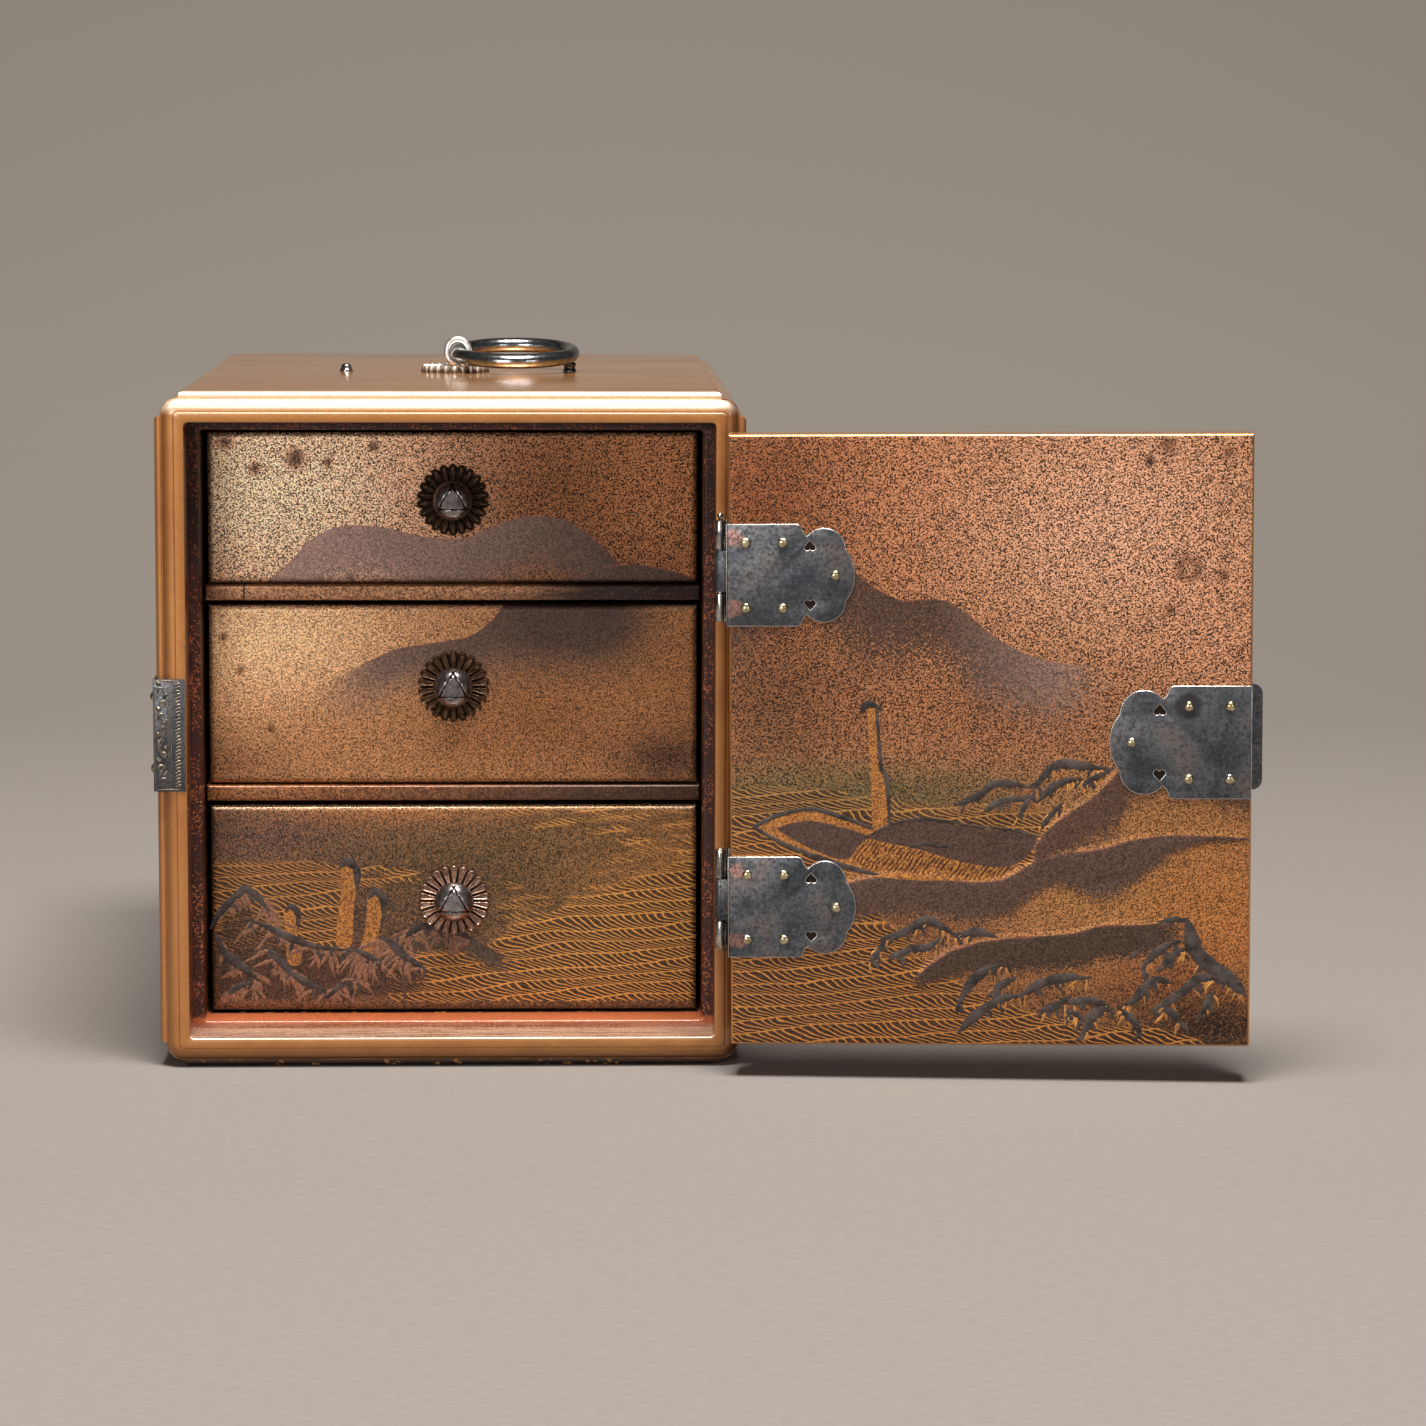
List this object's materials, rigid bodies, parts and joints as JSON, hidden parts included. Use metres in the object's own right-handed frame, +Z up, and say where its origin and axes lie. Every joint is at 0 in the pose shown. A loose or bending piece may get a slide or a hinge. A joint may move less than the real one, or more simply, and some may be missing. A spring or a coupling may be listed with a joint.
{
  "type": "lacquer cabinet",
  "caption": "Small lacquered cabinet with a hinged front door, drawers behind it with flower-shaped pulls, chased metal mounts and a ring handle on top.",
  "frame": {"origin": "centre of the case's underside", "axes": "+Z up, the drawers face and slide out along -Y, the door hangs on the +X side and is stored open"},
  "size_m": [0.1881, 0.1495, 0.1217],
  "materials": {
    "gold_lacquer": "polished gold lacquer on wood",
    "flaked_lacquer": "polished lacquer with gold flakes and a painted landscape",
    "bronze_rosette": "patinated copper alloy",
    "dark_silver": "patinated silver",
    "pale_metal": "pale polished metal"
  },
  "bodies": {
    "case": {"case": "gold_lacquer", "shelf_upper": "flaked_lacquer", "shelf_lower": "flaked_lacquer", "case_hinge_upper": "dark_silver", "case_hinge_lower": "dark_silver", "hinge_pin_upper": "dark_silver", "hinge_pin_lower": "dark_silver", "lock_keeper": "dark_silver", "nail_keeper_1": "pale_metal", "nail_keeper_2": "pale_metal", "nail_keeper_3": "pale_metal", "handle_eye": "pale_metal", "handle_rosette": "pale_metal", "handle_stop_left": "dark_silver", "handle_stop_right": "dark_silver"},
    "door": {"door_panel": "flaked_lacquer", "door_hinge_upper": "dark_silver", "door_hinge_lower": "dark_silver", "lock_plate_inner": "dark_silver", "lock_hasp": "dark_silver", "nail_upper_inner_1": "pale_metal", "nail_upper_inner_2": "pale_metal", "nail_upper_inner_3": "pale_metal", "nail_upper_inner_4": "pale_metal", "nail_upper_inner_5": "pale_metal", "nail_upper_outer_1": "pale_metal", "nail_upper_outer_2": "pale_metal", "nail_upper_outer_3": "pale_metal", "nail_upper_outer_4": "pale_metal", "nail_upper_outer_5": "pale_metal", "nail_lower_inner_1": "pale_metal", "nail_lower_inner_2": "pale_metal", "nail_lower_inner_3": "pale_metal", "nail_lower_inner_4": "pale_metal", "nail_lower_inner_5": "pale_metal", "nail_lower_outer_1": "pale_metal", "nail_lower_outer_2": "pale_metal", "nail_lower_outer_3": "pale_metal", "nail_lower_outer_4": "pale_metal", "nail_lower_outer_5": "pale_metal", "nail_lock_inner_1": "pale_metal", "nail_lock_inner_2": "pale_metal", "nail_lock_inner_3": "pale_metal", "nail_lock_inner_4": "pale_metal", "nail_lock_inner_5": "pale_metal", "nail_lock_outer_1": "pale_metal", "nail_lock_outer_2": "pale_metal", "nail_lock_outer_3": "pale_metal", "nail_lock_outer_4": "pale_metal", "nail_lock_outer_5": "pale_metal"},
    "drawer_upper": {"drawer_upper": "flaked_lacquer", "pull_rosette_upper": "bronze_rosette", "pull_knob_upper": "dark_silver"},
    "drawer_middle": {"drawer_middle": "flaked_lacquer", "pull_rosette_middle": "bronze_rosette", "pull_knob_middle": "dark_silver"},
    "drawer_lower": {"drawer_lower": "flaked_lacquer", "pull_rosette_lower": "bronze_rosette", "pull_knob_lower": "dark_silver"},
    "ring": {"handle_ring": "dark_silver"}
  },
  "joints": [
    {"name": "door_swing", "type": "hinge", "parent": "case", "child": "door", "pos_m": [0.04565, -0.0671, 0.05745], "axis": [-0.0044, 0, 1], "range_deg": [-175, 5]},
    {"name": "drawer_upper_slide", "type": "slide", "parent": "case", "child": "drawer_upper", "axis": [0, -1, 0], "range_m": [0, 0.095]},
    {"name": "drawer_middle_slide", "type": "slide", "parent": "case", "child": "drawer_middle", "axis": [0, -1, 0], "range_m": [0, 0.095]},
    {"name": "drawer_lower_slide", "type": "slide", "parent": "case", "child": "drawer_lower", "axis": [0, -1, 0], "range_m": [0, 0.095]},
    {"name": "ring_turn", "type": "hinge", "parent": "case", "child": "ring", "pos_m": [0, 0, 0.119], "axis": [0, -1, 0], "range_deg": [0, 180]}
  ]
}
